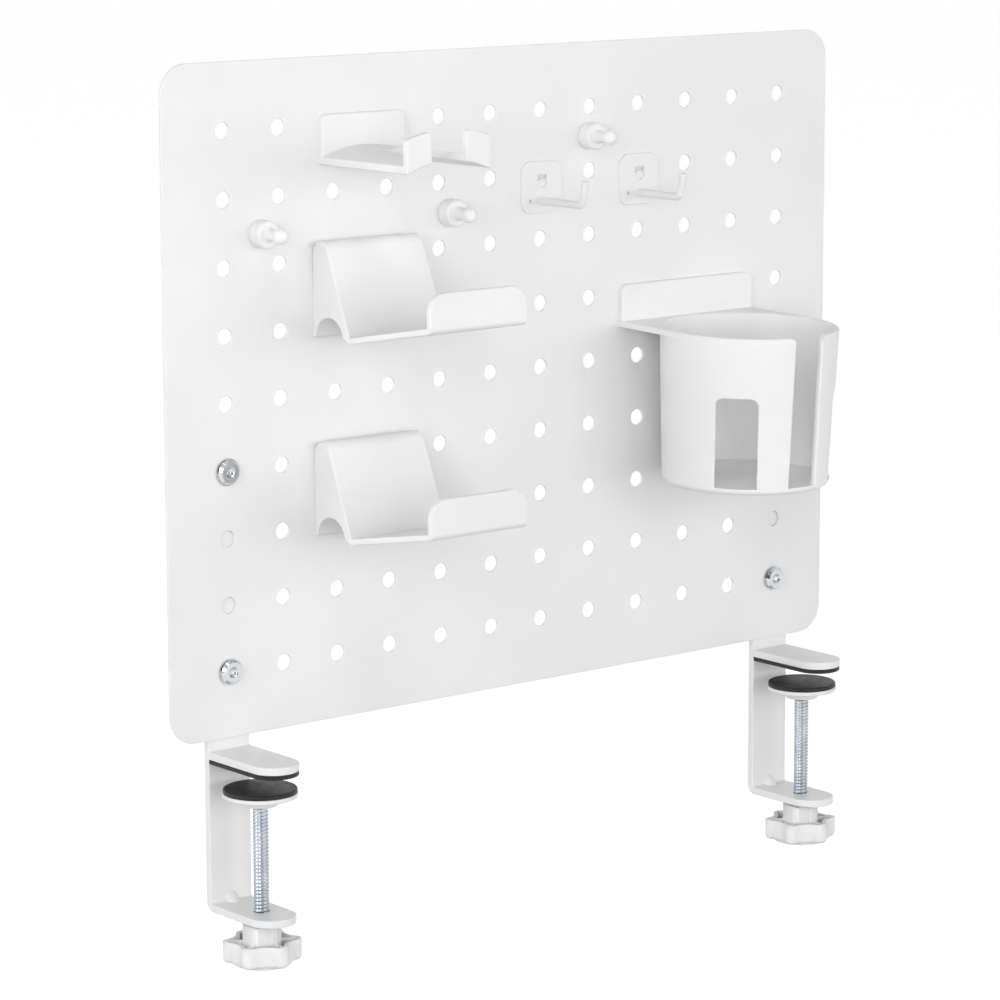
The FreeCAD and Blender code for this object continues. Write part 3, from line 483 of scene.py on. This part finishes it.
# %% A finish with drift, gloss and skin
def finish(name, dark, light, patch, gloss, gloss_size, skin_size, skin_height, stretch=(1, 1, 1)):
    """A Principled finish. dark and light are the ends of its colour drift over patches of the
    given size; gloss is its lowest and highest roughness; sizes and heights are in millimetres."""
    material = bpy.data.materials.new(name)
    material.use_nodes = True
    nodes, links = material.node_tree.nodes, material.node_tree.links
    shader = nodes["Principled BSDF"]
    place = nodes.new("ShaderNodeTexCoord")
    stretched = nodes.new("ShaderNodeMapping")
    stretched.inputs["Scale"].default_value = stretch
    links.new(place.outputs["Object"], stretched.inputs["Vector"])

    def noise(size, detail):
        made = nodes.new("ShaderNodeTexNoise")
        made.inputs["Scale"].default_value = 1 / (size * mm)
        made.inputs["Detail"].default_value = detail
        links.new(stretched.outputs["Vector"], made.inputs["Vector"])
        return made.outputs["Fac"]

    drift = nodes.new("ShaderNodeValToRGB")
    drift.color_ramp.elements[0].position = 0.35
    drift.color_ramp.elements[1].position = 0.65
    drift.color_ramp.elements[0].color = (*dark, 1)
    drift.color_ramp.elements[1].color = (*light, 1)
    links.new(noise(patch, 3), drift.inputs["Fac"])
    links.new(drift.outputs["Color"], shader.inputs["Base Color"])

    shine = nodes.new("ShaderNodeMapRange")
    shine.inputs["From Min"].default_value = 0.3
    shine.inputs["From Max"].default_value = 0.7
    shine.inputs["To Min"].default_value = gloss[0]
    shine.inputs["To Max"].default_value = gloss[1]
    links.new(noise(gloss_size, 2), shine.inputs["Value"])
    links.new(shine.outputs["Result"], shader.inputs["Roughness"])

    skin = nodes.new("ShaderNodeBump")
    skin.inputs["Strength"].default_value = 0.5
    skin.inputs["Distance"].default_value = skin_height * mm
    links.new(noise(skin_size, 2), skin.inputs["Height"])
    links.new(skin.outputs["Normal"], shader.inputs["Normal"])
    return material, shader


# %% [markdown]
# ### White powder coat and white mouldings
# The sheet, the brackets, the jaws and the hooks are steel under a satin powder coat. The rests,
# the hanger, the cup and the knobs are moulded, which gives a slightly brighter white and a
# smoother skin. The pins are the glossiest moulding, so they get a tighter highlight.

# %% The whites
powder_coat, shader = finish("white_powder_coat", (0.795, 0.795, 0.795), (0.835, 0.835, 0.835), 60,
                             (0.34, 0.44), 6, 1.1, 0.006)
shader.inputs["Coat Weight"].default_value = 0.25
shader.inputs["Coat Roughness"].default_value = 0.12

satin_moulding, shader = finish("white_satin_moulding", (0.82, 0.82, 0.82),
                                (0.86, 0.86, 0.86), 45, (0.36, 0.46), 5, 0.7, 0.004)
shader.inputs["Specular IOR Level"].default_value = 0.4

glossy_moulding, shader = finish("white_glossy_moulding", (0.86, 0.86, 0.86),
                                 (0.89, 0.89, 0.89), 12, (0.30, 0.38), 3, 0.8, 0.003)
shader.inputs["Specular IOR Level"].default_value = 0.35
print("whites:", powder_coat.name, satin_moulding.name, glossy_moulding.name)

# %% [markdown]
# ### Metals and rubber
# The button heads and washers are polished, with a faint grain left from polishing. The threaded
# rods and the nuts are zinc plated, which is bluer, softer and a little cloudy. The pads and
# discs are moulded rubber: nearly black, never glossy, with a fine open skin.

# %% The metals and the rubber
polished_steel, shader = finish("polished_steel", (0.60, 0.615, 0.635), (0.66, 0.67, 0.69), 4,
                                (0.08, 0.14), 1.5, 0.5, 0.001, stretch=(1, 1, 6))
shader.inputs["Metallic"].default_value = 1

zinc_plate, shader = finish("zinc_plate", (0.42, 0.465, 0.53), (0.53, 0.57, 0.63), 5,
                            (0.20, 0.28), 1.2, 0.35, 0.001)
shader.inputs["Metallic"].default_value = 1

nickel_plate, shader = finish("nickel_plate", (0.58, 0.57, 0.55), (0.68, 0.67, 0.64), 3,
                              (0.18, 0.30), 1, 0.4, 0.002)
shader.inputs["Metallic"].default_value = 1

black_rubber, shader = finish("black_rubber", (0.010, 0.010, 0.012), (0.018, 0.018, 0.020), 9,
                              (0.42, 0.52), 4, 0.4, 0.004)
shader.inputs["Specular IOR Level"].default_value = 0.33
print("metals and rubber:", polished_steel.name, zinc_plate.name, black_rubber.name)

# %% [markdown]
# ## Dress every piece
# The record gives each solid a material slot. That slot picks the finish here, so a piece can't be
# forgotten. The new pieces get theirs by name, and the pins are glossier than other mouldings.

# %% Finishes by slot
finish_of = {"white_steel": powder_coat, "white_plastic": satin_moulding,
             "black_rubber": black_rubber, "zinc_steel": zinc_plate,
             "bright_steel": polished_steel, "magnet": nickel_plate}
slot_of = {row["node"]: row["material_slot"] for row in frame["record"]["subparts"]}
for name, solid in frame["nodes"].items():
    chosen = finish_of[slot_of[name]]
    for place in solid.material_slots:
        place.material = chosen
    if not solid.material_slots:
        solid.data.materials.append(chosen)
new_pieces = {powder_coat: [pegboard_sheet], zinc_plate: [clamp_rod_left, clamp_rod_right],
              polished_steel: button_bolts, glossy_moulding: pin_caps, satin_moulding: star_knobs}
for chosen, pieces in new_pieces.items():
    for piece in pieces:
        piece.data.materials.clear()
        piece.data.materials.append(chosen)
new_count = sum(map(len, new_pieces.values()))
print("dressed", len(frame["nodes"]), "solids and", new_count, "new pieces")

# %% [markdown]
# ## The camera
# A long lens, a little to the left of the board and a little above it, keeps the rows of holes
# nearly parallel, as a catalogue picture does.

# %% Set the camera
camera_place = (-0.98003, -1.18739, 0.22494)
camera_turn = [math.radians(a) for a in (79.79643, 0.13016, -39.32083)]
bpy.ops.object.camera_add(location=camera_place, rotation=camera_turn)
camera = bpy.context.object
camera.data.sensor_width = 36
camera.data.lens = 142.19
bpy.context.scene.camera = camera
print("lens, mm:", round(camera.data.lens, 2))

# %% [markdown]
# ## Studio light
# White things are shaped by small differences in light. Here most of it comes level from all
# around, as in a white tent with a dark lid, so upright faces are the brightest and upward ones
# stay a shade darker. Softboxes add direction: a wide one in front, a narrow one on the left that
# puts a clean highlight on metal, one behind on the left for the sides of the brackets, a high one
# that leaves the undersides darker, and one beside the camera. The last is hidden from
# reflections, because a mirror of it in the plated screws would hide their dark centre line.

# %% Softboxes
middle = (cad_low + cad_high) / 2


def softbox(name, place, wide, high, watts):
    """An area lamp of the given size in metres, turned to face the middle of the board."""
    bpy.ops.object.light_add(type="AREA", location=place)
    lamp = bpy.context.object
    lamp.name = name
    lamp.data.shape = "RECTANGLE"
    lamp.data.size, lamp.data.size_y = wide, high
    lamp.data.energy = watts
    lamp.rotation_euler = (middle - Vector(place)).to_track_quat("-Z", "Y").to_euler()
    return lamp


softbox("front_softbox", (0.35, -1.7, 0.1), 1.2, 1.0, 7)
softbox("left_strip", (-1.5, -0.75, 0.55), 0.3, 1.1, 6.4)
softbox("left_rear_softbox", (-1.5, 0.45, 0.0), 0.6, 1.0, 7)
softbox("high_softbox", (-0.45, -0.9, 1.4), 0.4, 0.4, 2.1)
beside_camera = softbox("camera_side_softbox", (-1.0, -1.5, 0.0), 0.8, 0.8, 4.4)
beside_camera.visible_glossy = False

# %% [markdown]
# The room does three jobs at once. Light that falls on the object fades from the level walls to
# the dark lid in front and is even behind. The camera sees plain white, so the backdrop needs no
# extra light. Reflections see the same white behind the board and a grey studio in front of it,
# with a darker opening where a studio has its camera, and that gives polished metal its dark parts.

# %% The room
def only_seen(nodes, links, kinds):
    """1 for the given kinds of ray, 0 for every other."""
    path = nodes.new("ShaderNodeLightPath")
    seen = path.outputs[kinds[0]]
    for kind in kinds[1:]:
        larger = nodes.new("ShaderNodeMath")
        larger.operation = "MAXIMUM"
        links.new(seen, larger.inputs[0])
        links.new(path.outputs[kind], larger.inputs[1])
        seen = larger.outputs[0]
    return seen


def fade(nodes, links, value, start, end, first, last):
    """Runs from first to last as the value goes from start to end."""
    made = nodes.new("ShaderNodeMapRange")
    made.inputs["From Min"].default_value, made.inputs["From Max"].default_value = start, end
    made.inputs["To Min"].default_value, made.inputs["To Max"].default_value = first, last
    links.new(value, made.inputs["Value"])
    return made.outputs["Result"]


wall_level, lid_level, rear_level = 1.85, 0.1, 0.45
studio_grey, backdrop_white, opening_level = 0.55, 1.0, 0.12
to_camera = (-0.637, -0.771, 0)
room = bpy.data.worlds.new("room")
bpy.context.scene.world = room
room.use_nodes = True
nodes, links = room.node_tree.nodes, room.node_tree.links
direction = nodes.new("ShaderNodeTexCoord")
parts = nodes.new("ShaderNodeSeparateXYZ")
links.new(direction.outputs["Generated"], parts.inputs[0])
fill = nodes["Background"]
fill.inputs["Color"].default_value = (1, 1, 1, 1)
front_level = fade(nodes, links, parts.outputs["Z"], 0, 0.65, wall_level, lid_level)
level = fade(nodes, links, parts.outputs["Y"], -0.15, 0.15, wall_level, rear_level)
links.new(front_level, level.node.inputs["To Min"])
links.new(level, fill.inputs["Strength"])
mirrored = nodes.new("ShaderNodeBackground")
across = nodes.new("ShaderNodeVectorMath")
across.operation = "DOT_PRODUCT"
across.inputs[1].default_value = to_camera
links.new(direction.outputs["Generated"], across.inputs[0])
studio = fade(nodes, links, parts.outputs["Y"], -0.9, 0.1, studio_grey, backdrop_white)
opening = fade(nodes, links, across.outputs["Value"], 0.80, 0.95, 1, opening_level)
shaded = nodes.new("ShaderNodeMath")
shaded.operation = "MULTIPLY"
links.new(studio, shaded.inputs[0])
links.new(opening, shaded.inputs[1])
links.new(shaded.outputs[0], mirrored.inputs["Strength"])
backdrop = nodes.new("ShaderNodeBackground")
backdrop.inputs["Strength"].default_value = backdrop_white
for ground in (mirrored, backdrop):
    ground.inputs["Color"].default_value = (1, 1, 1, 1)
surface = fill.outputs[0]
for kinds, ground in ((["Is Glossy Ray"], mirrored),
                      (["Is Camera Ray", "Is Transmission Ray"], backdrop)):
    either = nodes.new("ShaderNodeMixShader")
    links.new(only_seen(nodes, links, kinds), either.inputs[0])
    links.new(surface, either.inputs[1])
    links.new(ground.outputs[0], either.inputs[2])
    surface = either.outputs[0]
links.new(surface, nodes["World Output"].inputs["Surface"])
print("room levels:", wall_level, lid_level, studio_grey, backdrop_white)

# %% [markdown]
# ## The floor
# The clamp screws can wind down almost 40 mm, so the floor lies just below their lowest reach.
# It is a pale matt sheet. What the camera sees of it is lifted towards white by a weak glow that
# lights nothing else, and it still takes the soft shadow of the board.

# %% Lay the floor
screw_travel = 40 * mm
floor_glow = 0.78
floor_size = 14
floor_shade = 0.52
work_alone(None)
bpy.ops.mesh.primitive_plane_add(size=floor_size, location=(0, 2, cad_low.z - screw_travel))
floor = bpy.context.object
floor.name = "floor"
pale = bpy.data.materials.new("pale_floor")
pale.use_nodes = True
nodes, links = pale.node_tree.nodes, pale.node_tree.links
matt = nodes["Principled BSDF"]
matt.inputs["Base Color"].default_value = (floor_shade, floor_shade, floor_shade, 1)
matt.inputs["Roughness"].default_value = 1
matt.inputs["Specular IOR Level"].default_value = 0
glow = nodes.new("ShaderNodeEmission")
lifted = nodes.new("ShaderNodeMath")
lifted.operation = "MULTIPLY"
lifted.inputs[1].default_value = floor_glow
links.new(only_seen(nodes, links, ["Is Camera Ray", "Is Glossy Ray", "Is Transmission Ray"]),
          lifted.inputs[0])
links.new(lifted.outputs[0], glow.inputs["Strength"])
both = nodes.new("ShaderNodeAddShader")
links.new(matt.outputs[0], both.inputs[0])
links.new(glow.outputs[0], both.inputs[1])
links.new(both.outputs[0], nodes["Material Output"].inputs["Surface"])
floor.data.materials.append(pale)
floor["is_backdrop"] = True
print("floor at", round(floor.location.z / mm, 1), "mm")

# %% [markdown]
# ## Measure and finish
# The looks must not change the size, so the finished box is written beside the CAD box.

# %% Write the two boxes
bpy.context.scene.view_settings.view_transform = "Standard"
low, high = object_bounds()
print("finished box, mm:", [round(v / mm, 2) for v in (*low, *high)])
